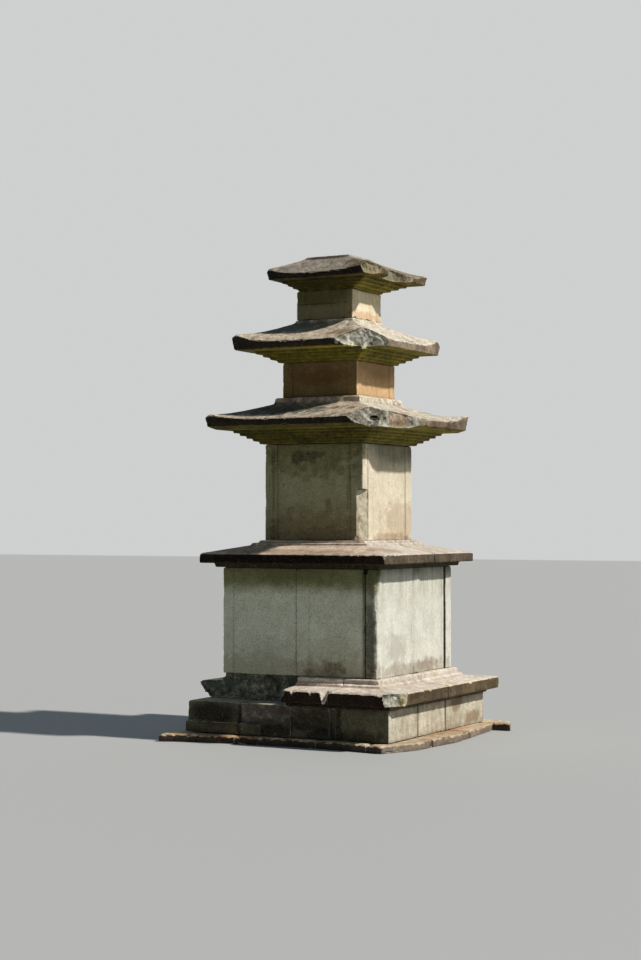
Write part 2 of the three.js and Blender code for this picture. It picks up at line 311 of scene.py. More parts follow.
# Each is its stones, its middle and half sizes in mm, its turn about Z in degrees and its last value:
# from 0 to 1 how much painted shade darkens its walls, below 0 how pale its freshly broken stone is.
HOLLOWS = [
    (["roof_1"], (588, -560, 2362), (32, 34, 11), 30, 0.9),
    (["roof_1"], (655, -455, 2352), (40, 40, 24), 20, 0.25),
    (["roof_2"], (463, -447, 3024), (34, 26, 34), 40, 0.3),
    (["roof_2"], (512, -420, 2912), (72, 28, 52), 41, 0.1),
    (["roof_3"], (452, -412, 3494), (58, 48, 62), 50, -0.9),
    (["lower_cap_front_middle"], (12, -930, 404), (30, 24, 44), 0, -0.2),
    (["lower_cap_front_left"], (-905, -545, 300), (74, 44, 46), 0, 0.5),
    (["upper_cap_front"], (786, -786, 1392), (30, 36, 60), 45, -0.4),
    (["upper_base_right", "upper_base_front"], (548, -646, 1254), (17, 30, 20), 0, 0.9),
    (["body_1"], (378, -412, 1478), (40, 26, 30), 30, -0.7),
    (["base_near_corner"], (835, -835, 292), (22, 22, 26), 0, -0.5),
    (["base_front_broken"], (-150, -858, 190), (190, 44, 70), 0, -0.05),
    (["base_front_broken"], (-92, -850, 106), (116, 42, 46), 0, 0.6),
]

# Its radius is rough: the least share of the half sizes, and how much noise of this size in mm
# adds to it. Its walls are the points up to these shares of the half sizes.
HOLLOW_LEAST = 0.75
HOLLOW_ROUGH = 0.5
HOLLOW_GRAIN = 26
HOLLOW_WALLS = (1.05, 1.35)


def cut_hollow(piece, middle, halves, turn, seed):
    """Cuts a rough rounded hollow out of the piece."""
    form = bmesh.new()
    bmesh.ops.create_icosphere(form, subdivisions=3, radius=1)
    points = np.array([v.co for v in form.verts])
    grain = noise(points * np.array(halves), HOLLOW_GRAIN, seed, layers=2)
    bulge = HOLLOW_LEAST + HOLLOW_ROUGH * grain
    placed = points * bulge[:, None] * np.array(halves)
    placed = (placed @ turn_about_z(turn).T + np.array(middle)) * MM
    for vertex, place in zip(form.verts, placed):
        vertex.co = place
    mesh = bpy.data.meshes.new("cutter")
    form.to_mesh(mesh)
    form.free()
    cutter = add_object("cutter", mesh)
    boolean = piece.modifiers.new("hollow", "BOOLEAN")
    boolean.operation = "DIFFERENCE"
    boolean.object = cutter
    boolean.solver = "EXACT"
    apply_modifiers(piece)
    drop_object(cutter)


def hollow_shares(name, in_mm):
    """Painted shade on a stone's hollow walls, how freshly broken they are, and how pale then."""
    dark, fresh, pale = (np.zeros(len(in_mm)) for _ in range(3))
    for owners, middle, halves, turn, shade_and_paleness in HOLLOWS:
        if name in owners:
            place = (in_mm - np.array(middle)) @ turn_about_z(-turn).T / np.array(halves)
            here = 1 - ramp(np.linalg.norm(place, axis=1), *HOLLOW_WALLS)
            dark = np.maximum(dark, here * max(shade_and_paleness, 0))
            fresh = np.maximum(fresh, here * (shade_and_paleness < 0))
            pale = np.maximum(pale, here * -min(shade_and_paleness, 0))
    return dark, fresh, pale


# Chipped top edges of the caps

# Half width and height of each cap's edge, and the deepest drop of its small chips, in mm
CHIPPED = {"lower_cap": (920, 408, 15), "upper_cap": (770, 1374, 9)}

# Start, lowest point, end and drop of each larger chip along the lower cap's front, in mm
FRONT_CHIPS = [(326, 354, 404, 98), (82, 100, 124, 26), (234, 250, 266, 24),
               (600, 676, 736, 10), (736, 800, 860, 16)]

# A chip reaches inwards by this share of its drop. Small chips come where noise of this size in
# mm is high, and the larger ones are ragged by noise a quarter as large.
CHIP_REACH = 0.9
CHIP_GRAIN = 52
CHIP_NOISE = (0.5, 0.8)
LEAST_DROP = 0.5
RAGGED_LEAST = 0.8
RAGGED_MORE = 0.35


def edge_chips(name, in_mm, seed):
    """How far each point lies inside a chip of the top edge, and the way to the chip's face."""
    half, top, deepest = entry_for(name, CHIPPED)
    rows = np.arange(len(in_mm))
    side = np.argmax(np.abs(in_mm[:, :2]), axis=1)
    across, along = in_mm[rows, side], in_mm[rows, 1 - side]
    # Each side of the cap has its own place in the noise.
    line = np.stack([along, 3 * half * side + half * np.sign(across), 0 * along], axis=1)
    drop = deepest * ramp(noise(line, CHIP_GRAIN, seed), *CHIP_NOISE)
    if name.startswith("lower_cap"):
        on_front = (side == 1) & (across < 0)
        grain = noise(line, CHIP_GRAIN / 4, seed + SEEDS["ragged"], layers=2)
        ragged = RAGGED_LEAST + RAGGED_MORE * grain
        for start, lowest, end, depth in FRONT_CHIPS:
            drawn = np.interp(along, [start, lowest, end], [0, depth, 0]) * ragged
            drop = np.where(on_front, np.maximum(drop, drawn), drop)
    drop = np.maximum(drop, LEAST_DROP)
    reach = CHIP_REACH * drop
    inside = 1 - (half - np.abs(across)) / reach - (top - in_mm[:, 2]) / drop
    way = np.zeros_like(in_mm)
    way[rows, side] = -np.sign(across) / reach
    way[:, 2] = -1 / drop
    return inside, drop, way / (way * way).sum(axis=1)[:, None]


def is_chipped(name):
    return entry_for(name, CHIPPED) is not None


def chip_edges(piece, name, seed):
    """Moves the points of a cap's top edge onto the slanting faces of its chips."""
    in_mm = read_points(piece.data) / MM
    inside, _, way = edge_chips(name, in_mm, seed)
    moved = in_mm + way * np.maximum(inside, 0)[:, None]
    write_points(piece.data, moved * MM)


# Heights in mm below which a stone looks like its underside, and above which like its top

LEVELS = {
    "roof_1": (2308, 2440),
    "roof_2": (2884, 3030),
    "roof_3": (3422, 3540),
    "upper_cap": (1301, 1424),
    "lower_cap": (200, 418),
}
NO_LEVELS = (-10000, 10000)
LEVEL_BLUR = 6

# A chip's face looks like the top from just outside the chip on, where its drop is deep enough.
CHIP_INSIDE = (-0.35, -0.1)
CHIP_DROP = (4, 10)


def level_shares(name, in_mm, seed):
    """How much each point looks like the stone's underside and like its top."""
    low, high = entry_for(name, LEVELS, NO_LEVELS)
    below = 1 - ramp(in_mm[:, 2], low - LEVEL_BLUR, low + LEVEL_BLUR)
    above = ramp(in_mm[:, 2], high - LEVEL_BLUR, high + LEVEL_BLUR)
    if is_chipped(name):
        inside, drop, _ = edge_chips(name, in_mm, seed)
        above = np.maximum(above, ramp(inside, *CHIP_INSIDE) * ramp(drop, *CHIP_DROP))
    return below, above


# Shape of one stone

# Voxel is the size in mm of the faces that a stone is worked in, and faces the most that it keeps.
# Round is how far its edges wear and soft how often its upper edges are smoothed. Uneven, chips
# and pits are depths in mm, and the last is how much its joints and cavities darken, with dirt and
# painted shade.
WEAR = {
    "foundation": {"voxel": 9, "faces": 5000, "round": 1.0, "uneven": 9, "chips": 16, "pits": 3,
                   "soft": 10, "grime_and_shade": 0.4},
    "base": {"voxel": 7, "faces": 9000, "round": 0.4, "uneven": 2, "chips": 9, "pits": 2,
             "soft": 3, "grime_and_shade": 1.0},
    "lower_cap": {"voxel": 6.5, "faces": 25000, "round": 0.4, "uneven": 2, "chips": 6, "pits": 2,
                  "soft": 3, "grime_and_shade": 0.7},
    "upper_base": {"voxel": 6, "faces": 30000, "round": 0.4, "uneven": 1.5, "chips": 6, "pits": 1,
                   "soft": 3, "grime_and_shade": 0.5},
    "upper_cap": {"voxel": 6.5, "faces": 36000, "round": 0.4, "uneven": 2, "chips": 4, "pits": 2,
                  "soft": 3, "grime_and_shade": 0.8},
    "body": {"voxel": 6, "faces": 34000, "round": 0.3, "uneven": 1.5, "chips": 5, "pits": 1,
             "soft": 3, "grime_and_shade": 0.9},
    "roof": {"voxel": 6.5, "faces": 105000, "round": 0.5, "uneven": 2.5, "chips": 10, "pits": 2.5,
             "soft": 3, "grime_and_shade": 0.9},
}
WELD = 0.01 * MM
SHARP_ANGLE = 50

# How far apart the stones' seeds are, and what each noise adds to its stone's seed
SEED_STEP = 101
SEEDS = {"ragged": 5, "ridges": 11, "grit": 23, "bites": 31, "nicks": 37, "dents": 57, "pits": 71,
         "breaks": 91}

# Where each stone's own tone comes from
TONE_CELL = (5, 9)
TONE_SEED = 3


def welded_copy(name):
    """A copy of a CAD node with its split corners joined."""
    piece = add_object(f"stone_{name}", frame["nodes"][name].data.copy())
    form = bmesh.new()
    form.from_mesh(piece.data)
    bmesh.ops.remove_doubles(form, verts=form.verts, dist=WELD)
    form.to_mesh(piece.data)
    form.free()
    return piece


def remesh(piece, voxel):
    """Even small faces that lie on the stone's own surface."""
    surface = add_object("surface", piece.data.copy())
    voxels = piece.modifiers.new("remesh", "REMESH")
    voxels.mode = "VOXEL"
    voxels.voxel_size = voxel * MM
    snap = piece.modifiers.new("snap", "SHRINKWRAP")
    snap.target = surface
    apply_modifiers(piece)
    drop_object(surface)


def thin_out(piece, faces):
    """Leaves about this many triangles, shaded smooth between the sharp edges."""
    mesh = piece.data
    mesh.calc_loop_triangles()
    now = len(mesh.loop_triangles)
    if now > faces:
        decimate = piece.modifiers.new("thin", "DECIMATE")
        decimate.ratio = faces / now
        apply_modifiers(piece)
    piece.data.shade_smooth()
    piece.data.set_sharp_from_angle(angle=math.radians(SHARP_ANGLE))


# Half width, foot and top in mm of the band on each slab where the low relief has worn away

WORN_RELIEF = 150
WORN_FROM, WORN_TO = 520, 1240
WORN_BLUR = 30


def worn_relief_share(name, in_mm):
    if not name.startswith("upper_base"):
        return np.zeros(len(in_mm))
    along, height = np.abs(in_mm[:, :2]).min(axis=1), in_mm[:, 2]
    over_foot = ramp(height, WORN_FROM, WORN_FROM + WORN_BLUR)
    under_top = 1 - ramp(height, WORN_TO - WORN_BLUR, WORN_TO)
    return (1 - ramp(along, WORN_RELIEF - WORN_BLUR, WORN_RELIEF)) * (over_foot * under_top)


# Roughness of a broken face: the sizes in mm of its steps, ridges and grit and their shares

ROUGH_STEPS, STEPS_SHARE = 84, 0.5
ROUGH_RIDGES, RIDGES_SHARE = 36, 0.32
ROUGH_GRIT, GRIT_SHARE = 15, 0.18
ROUGH_NOISE = (0.3, 0.7)
FLATTENED = (1, 1, 0.5)
SLANTED = (0.4, 0, 0)


def rough_surface(in_mm, seed):
    """Depth from 0 to 1 of a broken stone face, with slanting ridges and small steps."""
    slanted = in_mm * FLATTENED + in_mm[:, 2:] * SLANTED
    steps = ramp(noise(slanted, ROUGH_STEPS, seed, layers=2), *ROUGH_NOISE)
    ridges = ramp(noise(slanted, ROUGH_RIDGES, seed + SEEDS["ridges"], layers=2), *ROUGH_NOISE)
    grit = ramp(noise(in_mm, ROUGH_GRIT, seed + SEEDS["grit"], layers=2), *ROUGH_NOISE)
    return STEPS_SHARE * steps + RIDGES_SHARE * ridges + GRIT_SHARE * grit


# Weathering: how often points and shares are smoothed, and the bulge in mm of an edge or cavity

NEAR_TIMES = 2
FAR_TIMES = 6
FACING_TIMES = 5
RELIEF_TIMES = 12
TINY = 1e-9
EDGE_BULGE = (0.8, 5)
CAVITY_BULGE = (0.8, 4)
UPWARD = (0.2, 0.5)

# Bites and nicks out of the edges, dents and pits: their sizes in mm and where their noise shows
BITE_SIZE, BITE_NOISE = 60, (0.56, 0.74)
NICK_SIZE, NICK_NOISE, NICK_SHARE = 22, (0.6, 0.8), 0.5
DENT_SIZE = 170
PIT_SIZE, PIT_NOISE = 24, (0.62, 0.8)
LEVEL_CALM = 0.6


class Surface:
    """A stone's points, with what the weathering has to know about each of them."""

    def __init__(self, mesh, name, seed):
        self.points, self.normals = read_points(mesh), read_normals(mesh)
        self.edges = read_edges(mesh)
        self.in_mm = self.points / MM
        self.hidden = hidden_share(name, self.points, self.normals)
        self.open = 1 - self.smoothed(self.hidden, NEAR_TIMES)
        self.near = self.smoothed(self.points, NEAR_TIMES)
        self.far = self.smoothed(self.near, FAR_TIMES)
        bulge = ((self.points - self.far) * self.normals).sum(axis=1) / MM
        self.convex = ramp(bulge, *EDGE_BULGE) * self.open
        self.cavity = self.smoothed(ramp(-bulge, *CAVITY_BULGE), 1) * (1 - self.hidden)
        broken, self.rough, self.pale = break_shares(name, self.in_mm, self.normals)
        self.broken = self.smoothed(broken, 1) * self.open
        self.below, self.above = level_shares(name, self.in_mm, seed)
        facing = self.smoothed(self.normals, FACING_TIMES)
        self.facing = facing / (np.linalg.norm(facing, axis=1)[:, None] + TINY)

    def smoothed(self, values, times):
        return smoothed(values, self.edges, times)


def worn_depth(surface, wear, seed):
    """How many mm each point wears inwards."""
    in_mm = surface.in_mm
    bites = ramp(noise(in_mm, BITE_SIZE, seed + SEEDS["bites"]), *BITE_NOISE) * surface.convex
    nicks = ramp(noise(in_mm, NICK_SIZE, seed + SEEDS["nicks"], layers=2), *NICK_NOISE)
    bites += NICK_SHARE * nicks * surface.convex
    dents = noise(in_mm, DENT_SIZE, seed + SEEDS["dents"], layers=4) * wear["uneven"]
    pits = ramp(noise(in_mm, PIT_SIZE, seed + SEEDS["pits"], layers=2), *PIT_NOISE) * wear["pits"]
    calm = bites * wear["chips"] * (1 - LEVEL_CALM * surface.below) * (1 - LEVEL_CALM * surface.above)
    rough = surface.rough * rough_surface(in_mm, seed + SEEDS["breaks"])
    return (calm + dents + pits) * (1 - surface.broken) + rough * surface.broken


def worn_points(surface, name, wear, seed):
    """Where the points move to: worn edges, chips, pits and a slightly uneven face."""
    upward = ramp(surface.facing[:, 2], *UPWARD)
    soft = surface.smoothed(surface.near, wear["soft"])
    target = surface.near + (soft - surface.near) * upward[:, None]
    rounding = np.maximum(wear["round"], upward) * surface.convex
    moved = surface.points + (target - surface.points) * rounding[:, None]
    flat = worn_relief_share(name, surface.in_mm)
    if flat.any():
        moved += (surface.smoothed(surface.far, RELIEF_TIMES) - moved) * flat[:, None]
    depth = worn_depth(surface, wear, seed) * surface.open * MM
    moved -= surface.normals * depth[:, None]
    moved[:, 2] = np.maximum(moved[:, 2], 0)
    return moved


# Shares that the materials read, with the ways a face turns to be worn, shaded or lengthways

WORN_FACING = (-0.25, 0.15)
SHADED_FACING = (0.04, 0.16)
LENGTHWAYS_FACING = (-0.1, 0.1)
# How much the joints and cavities darken, with dirt and painted shade
JOINT_GRIME_AND_SHADE = 2.2
CAVITY_GRIME_AND_SHADE = 0.6


def write_shares(mesh, surface, name, wear, seed):
    """Writes the shares that the materials read, as attributes of the mesh."""
    hidden, facing = surface.hidden, surface.facing
    dark, fresh, fresh_pale = hollow_shares(name, surface.in_mm)
    sunward = np.maximum(facing[:, :2].max(axis=1), 0)
    turned = -facing[:, :2].min(axis=1) - sunward
    joints = JOINT_GRIME_AND_SHADE * surface.smoothed(hidden, FAR_TIMES) * (1 - hidden)
    tone = lattice(np.array([[seed, *TONE_CELL]]), TONE_SEED)[0]
    shares = {
        # Convex edges facing up or sideways: worn bare, and painted lighter as highlights
        "edge_wear_and_highlight": surface.convex * (1 - surface.below) * ramp(facing[:, 2], *WORN_FACING),
        # Faces turned from the sun, which the materials darken with painted shade
        "shaded": ramp(turned, *SHADED_FACING),
        "lengthways": ramp(np.diff(np.abs(facing[:, :2]))[:, 0], *LENGTHWAYS_FACING),
        "broken": np.maximum(surface.broken, fresh),
        "pale": np.where(fresh > surface.broken, fresh_pale, surface.pale),
        # Painted shade in the hollows
        "hollow": dark * (1 - hidden),
        "below": surface.below,
        "above": surface.above,
        "grime_and_shade": np.clip((joints + CAVITY_GRIME_AND_SHADE * surface.cavity) * wear["grime_and_shade"], 0, 1),
        "stone_tone": np.full(len(hidden), tone),
    }
    for share, values in shares.items():
        write_attribute(mesh, share, values)


def weather(piece, name, wear, seed):
    """Wears the stone's points inwards and notes what its material has to know."""
    surface = Surface(piece.data, name, seed)
    write_points(piece.data, worn_points(surface, name, wear, seed))
    write_shares(piece.data, surface, name, wear, seed)


# Materials

# Features per metre of each noise, its detail, roughness, stretch and shift
EVEN = (1, 1, 1)
UNMOVED = (0, 0, 0)
NOISES = {
    "broad": (6, 4, 0.6, EVEN, UNMOVED),
    "middling": (22, 5, 0.65, EVEN, (2, 5, 3)),
    "fine": (75, 4, 0.65, EVEN, (7, 1, 2)),
    "wander": (13, 5, 0.65, EVEN, (1, 6, 2)),
    "runs": (10, 5, 0.65, (1, 1, 0.07), UNMOVED),
    "drips": (34, 3, 0.6, (1, 1, 0.05), (5, 2, 0)),
    "down_front": (15, 5, 0.7, (1, 0.7, 0.7), (4, 4, 1)),
    "down_side": (15, 5, 0.7, (0.7, 1, 0.7), (2, 8, 5)),
    "gathered": (2.6, 3, 0.6, EVEN, (1, 2, 8)),
    "specks": (105, 2, 0.5, EVEN, (6, 6, 1)),
    "dark_grain": (230, 2, 0.5, EVEN, UNMOVED),
    "light_grain": (160, 2, 0.5, EVEN, (9, 2, 4)),
    "bump": (140, 3, 0.6, EVEN, (3, 3, 3)),
}

# Between which values a noise or share takes effect, and what it is there if not 0 and 1
RAMPS = {
    "up": (0.4, 0.62),
    "down": (-0.62, -0.4, 1, 0),
    "runs": (0.47, 0.68),
    "drips": (0.52, 0.72),
    "top": (0.42, 0.58),
    "crust": (0.49, 0.56),
    "gathered": (0.4, 0.58, 0.3, 1),
    "under": (0.4, 0.6),
    "rock": (0.47, 0.68),
    "broken": (0.3, 0.7),
    "patch": (0.55, 1.15, 1, 0),
    "patchy_stain": (0.38, 0.58, 0.45, 1),
    "stain_runs": (0, 0.7, 0.15, 1),
    "stone_tone": (0, 1, 0.9, 1.04),
    "edge_wear_and_highlight": (0.4, 1),
    "worn_patches": (0.42, 0.58),
    "grime_and_shade": (0.3, 0.6, 0.6, 1),
    "specks": (0.56, 0.66),
    "shaded_specks": (0, 1, 0.4, 1),
    "dark_grain": (0.56, 0.7, 0, 0.4),
    "light_grain": (0.6, 0.72, 0, 0.25),
}

# How far the edges of stains wander, plain ones by a gentler share, and other shares and sizes
WANDER = 2.2
GENTLE = 0.2
TILT_WANDER = 0.3
DRIP_SHARE = 0.7
PALE_CHALK = 0.16
GRIME_AND_SHADE_SHARE = 0.85
STONE_ROUGHNESS = 0.93
STONE_GLOSS = 0.2
BUMP_STRENGTH = 0.6
BUMP_HEIGHT = 6 * MM


def colour(red, green, blue):
    """A colour given as seen on a screen, from 0 to 255."""

    def linear(value):
        value /= 255
        return value / 12.92 if value <= 0.04045 else ((value + 0.055) / 1.055) ** 2.4

    return (linear(red), linear(green), linear(blue), 1.0)


class Tree:
    """Shader nodes, with short names for the ones used here."""

    def __init__(self, tree):
        self.tree = tree

    def fill(self, node, inputs):
        for key, value in inputs.items():
            if isinstance(value, bpy.types.NodeSocket):
                self.tree.links.new(value, node.inputs[key])
            else:
                node.inputs[key].default_value = value

    def make(self, kind, inputs=None, **settings):
        node = self.tree.nodes.new(kind)
        for key, value in settings.items():
            setattr(node, key, value)
        self.fill(node, inputs or {})
        return node

    def ramp(self, value, low, high, to_low=0.0, to_high=1.0):
        inputs = {"Value": value, 1: low, 2: high, 3: to_low, 4: to_high}
        return self.make("ShaderNodeMapRange", inputs, interpolation_type="SMOOTHSTEP").outputs[0]

    def maths(self, kind, first, second=0.0):
        return self.make("ShaderNodeMath", {0: first, 1: second}, operation=kind).outputs[0]

    def most(self, first, second):
        return self.maths("MAXIMUM", first, second)

    def times(self, *values):
        result = values[0]
        for value in values[1:]:
            result = self.maths("MULTIPLY", result, value)
        return result

    def plus(self, *values):
        result = values[0]
        for value in values[1:]:
            result = self.maths("ADD", result, value)
        return result

    def weighted(self, *pairs):
        """The sum of some values, each times its own weight."""
        return self.plus(*[self.times(value, weight) for value, weight in pairs])

    def mix(self, share, first, second, kind="MIX"):
        node = self.make("ShaderNodeMix", data_type="RGBA", blend_type=kind)
        self.fill(node, {0: share, 6: first, 7: second})
        return node.outputs[2]

    def paint_over(self, share, base, paint):
        return self.mix(share, base, paint, "MULTIPLY")


class Stone(Tree):
    """A stone's material. Side, top, underside and broken face each mottle in two colours."""

    def __init__(self, name):
        self.material = bpy.data.materials.new(name)
        self.material.use_nodes = True
        super().__init__(self.material.node_tree)
        self.shader = self.tree.nodes["Principled BSDF"]
        self.place = self.make("ShaderNodeTexCoord").outputs["Object"]
        normal = self.make("ShaderNodeNewGeometry").outputs["Normal"]
        self.rise = self.make("ShaderNodeSeparateXYZ", {0: normal}).outputs[2]
        # How far a face turns from the sun: there its colours take painted shade
        self.front = self.attribute("shaded")
        self.broad, self.middling, self.fine = (self.noise(n) for n in ("broad", "middling", "fine"))
        self.tone = self.weighted((self.broad, 0.35), (self.middling, 0.3), (self.fine, 0.35))
        self.patchy = self.weighted((self.broad, 0.2), (self.middling, 0.4), (self.fine, 0.4))
        self.wander = self.times(self.centred(self.noise("wander")), WANDER)
        self.runs = self.ramp(self.noise("runs"), *RAMPS["runs"])
        self.drips = self.ramp(self.noise("drips"), *RAMPS["drips"])

    def attribute(self, name):
        return self.make("ShaderNodeAttribute", attribute_name=name).outputs["Fac"]

    def noise(self, name):
        scale, detail, rough, stretch, shift = NOISES[name]
        vector = self.make("ShaderNodeMapping", {0: self.place, 1: shift, 3: stretch}).outputs[0]
        inputs = {"Vector": vector, "Scale": scale, "Detail": detail, "Roughness": rough}
        return self.make("ShaderNodeTexNoise", inputs).outputs["Fac"]

    def centred(self, value):
        """A noise moved down by a half, so that it varies about 0."""
        return self.plus(value, -0.5)

    def blob(self, middle, halves, wander):
        """1 in the middle of a soft-edged patch and 0 outside it, sizes in mm."""
        scale = [1 / (half * MM) for half in halves]
        shift = [-at * MM * by for at, by in zip(middle, scale)]
        place = self.make("ShaderNodeMapping", {0: self.place, 1: shift, 3: scale}).outputs[0]
        length = self.make("ShaderNodeVectorMath", {0: place}, operation="LENGTH").outputs["Value"]
        return self.ramp(self.plus(length, wander), *RAMPS["patch"])

    def side(self, look):
        """Mottled stone with streaks of rain, and painted shade on faces turned from the sun."""
        wet = self.most(self.runs, self.times(self.drips, DRIP_SHARE))
        base = self.mix(self.ramp(self.tone, *look["mottle"]), *look["side"])
        base = self.mix(self.times(wet, look["streaks"]), base, look["streak"])
        return self.paint_over(self.front, base, look["shaded_side"])

    def top(self, look):
        """Patchy stone with lichen that runs down its slopes and gathers in places."""
        down_side, down_front = self.noise("down_side"), self.noise("down_front")
        lines = self.mix(self.attribute("lengthways"), down_side, down_front)
        crust = self.weighted((lines, 0.5), (self.broad, 0.3), (self.fine, 0.2))
        gathered = self.ramp(self.noise("gathered"), *RAMPS["gathered"])
        crusted = self.times(self.ramp(crust, *RAMPS["crust"]), gathered, look["lichens"])
        base = self.mix(self.ramp(self.patchy, *RAMPS["top"]), *look["top"])
        base = self.mix(crusted, base, look["lichen"])
        # Painted shade on the slopes turned from the sun
        return self.paint_over(self.front, base, look["shaded_top"])

    def under(self, look):
        base = self.mix(self.ramp(self.tone, *RAMPS["under"]), *look["under"])
        # Painted shade on the undersides turned from the sun
        return self.paint_over(self.front, base, look["shaded_under"])

    def every_face(self, look):
        """Side, top or underside, by the way a face looks or by its level on the stone."""
        rise = self.plus(self.rise, self.times(self.centred(self.middling), TILT_WANDER))
        up = self.most(self.ramp(rise, *RAMPS["up"]), self.attribute("above"))
        down = self.most(self.ramp(rise, *RAMPS["down"]), self.attribute("below"))
        return self.mix(down, self.mix(up, self.side(look), self.top(look)), self.under(look))

    def broken(self, base, look):
        """Bare rock on the broken faces and painted shade in the hollows."""
        rock = self.weighted((self.broad, 0.3), (self.middling, 0.45), (self.fine, 0.25))
        chalk = self.plus(rock, self.times(self.attribute("pale"), PALE_CHALK))
        face = self.mix(self.ramp(chalk, *RAMPS["rock"]), *look["broken"])
        base = self.mix(self.ramp(self.attribute("broken"), *RAMPS["broken"]), base, face)
        return self.paint_over(self.attribute("hollow"), base, HOLLOW_SHADE)

    def stain_grain(self, kind):
        """How a stain varies within its patches."""
        if kind == "plain":
            return 1
        grain = self.ramp(self.patchy, *RAMPS["patchy_stain"])
        if kind == "runs":
            streaks = self.ramp(self.most(self.runs, self.drips), *RAMPS["stain_runs"])
            grain = self.times(grain, streaks)
        return grain

    # Lays each stain, and each patch of painted shade or light, over the colour
    def paint_stains_and_light(self, base, look):
        gentle = self.times(self.wander, GENTLE)
        for paint, amount, kind, patches in look["stains_and_painted_light"]:
            edge = gentle if kind == "plain" else self.wander
            mask = self.blob(*patches[0], edge)
            for patch in patches[1:]:
                mask = self.most(mask, self.blob(*patch, edge))
            base = self.paint_over(self.times(mask, self.stain_grain(kind), amount), base, paint)
        return base

    def aged(self, base, look):
        """Own tone, bare worn edges with painted highlights, and dirt with painted shade in joints."""
        tone = self.ramp(self.attribute("stone_tone"), *RAMPS["stone_tone"])
        grey = self.make("ShaderNodeCombineColor", {0: tone, 1: tone, 2: tone}).outputs[0]
        base = self.paint_over(1.0, base, grey)
        # Worn edges, painted lighter also as highlights where edges catch the light
        edges = self.ramp(self.attribute("edge_wear_and_highlight"), *RAMPS["edge_wear_and_highlight"])
        worn = self.times(edges, self.ramp(self.broad, *RAMPS["worn_patches"]), look["wear"])
        base = self.mix(worn, base, look["worn"])
        # Darker joints and cavities: dirt, with painted shade
        dirt = self.ramp(self.broad, *RAMPS["grime_and_shade"])
        return self.paint_over(self.times(self.attribute("grime_and_shade"), dirt, GRIME_AND_SHADE_SHARE), base, GRIME_AND_SHADE)

    def grained(self, base, look):
        """Dark specks, most of them in the shade, and the dark and light grains of granite."""
        specks = self.ramp(self.noise("specks"), *RAMPS["specks"], 0, look["specks"])
        specks = self.times(specks, self.ramp(self.front, *RAMPS["shaded_specks"]))
        base = self.paint_over(specks, base, DARK_GRAIN)
        dark = self.ramp(self.noise("dark_grain"), *RAMPS["dark_grain"])
        base = self.paint_over(dark, base, DARK_GRAIN)
        light = self.ramp(self.noise("light_grain"), *RAMPS["light_grain"])
        return self.mix(light, base, look["worn"])

    def bumps(self):
        bump, fine = self.times(self.noise("bump"), 0.4), self.times(self.fine, 0.6)
        height = self.plus(bump, fine, self.middling)
        inputs = {"Strength": BUMP_STRENGTH, "Distance": BUMP_HEIGHT, "Height": height}
        return self.make("ShaderNodeBump", inputs).outputs[0]


def stone_material(name, look):
    """The weathered granite of one material slot."""
    stone = Stone(name)
    base = stone.broken(stone.every_face(look), look)
    base = stone.grained(stone.aged(stone.paint_stains_and_light(base, look), look), look)
    stone.fill(stone.shader, {"Base Color": base, "Normal": stone.bumps()})
    stone.shader.inputs["Roughness"].default_value = STONE_ROUGHNESS
    stone.shader.inputs["Specular IOR Level"].default_value = STONE_GLOSS
    return stone.material


# Looks

# Colours are given as seen on a screen. A paint multiplies a colour, and above 1 it brightens.
# A stain or patch of painted light is a paint, how strong it is, its kind, and its patches, each
# a middle and half sizes in mm. Those that paint shade or light are noted. A plain one is even, a
# soft one is mottled, and one that runs follows the rain streaks too.
BROWN = colour(176, 146, 116)
DARK = colour(140, 132, 120)
SOOT = colour(104, 94, 82)
OLIVE = colour(170, 172, 126)
RUST = colour(214, 160, 116)
# Dirt with painted shade, in the joints and cavities
GRIME_AND_SHADE = colour(64, 56, 44)
DARK_GRAIN = colour(120, 114, 104)
# The four shade colours below are painted shade, in hollows and where a cap, eave or roof casts shadow.
HOLLOW_SHADE = colour(110, 102, 90)
SKY_SHADE = colour(94, 120, 127)
PALE_SHADE = colour(134, 158, 168)
GREEN_SHADE = colour(120, 136, 126)
BRIGHTER = (1.7, 1.7, 1.45, 1.0)
PALER = (1.2, 1.21, 1.23, 1.0)
COOLER = (1.3, 1.42, 1.56, 1.0)
WARMER = (1.3, 1.22, 1.1, 1.0)
UNSHADED = colour(255, 255, 255)

# Half size in mm of a patch that reaches past the whole stone
ALL_ROUND = 9000

# The shaded colours paint shade over the faces turned from the sun, partly also the dirtier stone there.
LOOKS = {}

# Foundation stone

LOOKS["foundation_stone"] = {
    "side": (colour(122, 110, 100), colour(170, 158, 140)), "mottle": (0.4, 0.6),
    "top": (colour(180, 160, 130), colour(240, 220, 190)),
    "under": (colour(70, 62, 50), colour(90, 80, 66)),
    "broken": (colour(90, 80, 70), colour(150, 138, 124)),
    "shaded_side": colour(128, 120, 120), "shaded_top": colour(250, 236, 214),
    "shaded_under": colour(200, 200, 190),
    "streak": colour(70, 60, 52), "streaks": 0.3, "lichen": colour(120, 110, 94),
    "lichens": 0.4, "worn": colour(190, 178, 160), "wear": 0.5, "specks": 0.6,
    "stains_and_painted_light": [
        (RUST, 0.7, "soft", [((-480, -900, 60), (380, 90, 60)), ((850, 100, 60), (50, 400, 60))]),
        (BROWN, 0.4, "soft", [((960, 0, 40), (120, ALL_ROUND, 90))]),
        (COOLER, 1.0, "plain", [((1010, 1000, 40), (130, 130, 90))]),
    ],
}

# Base stone

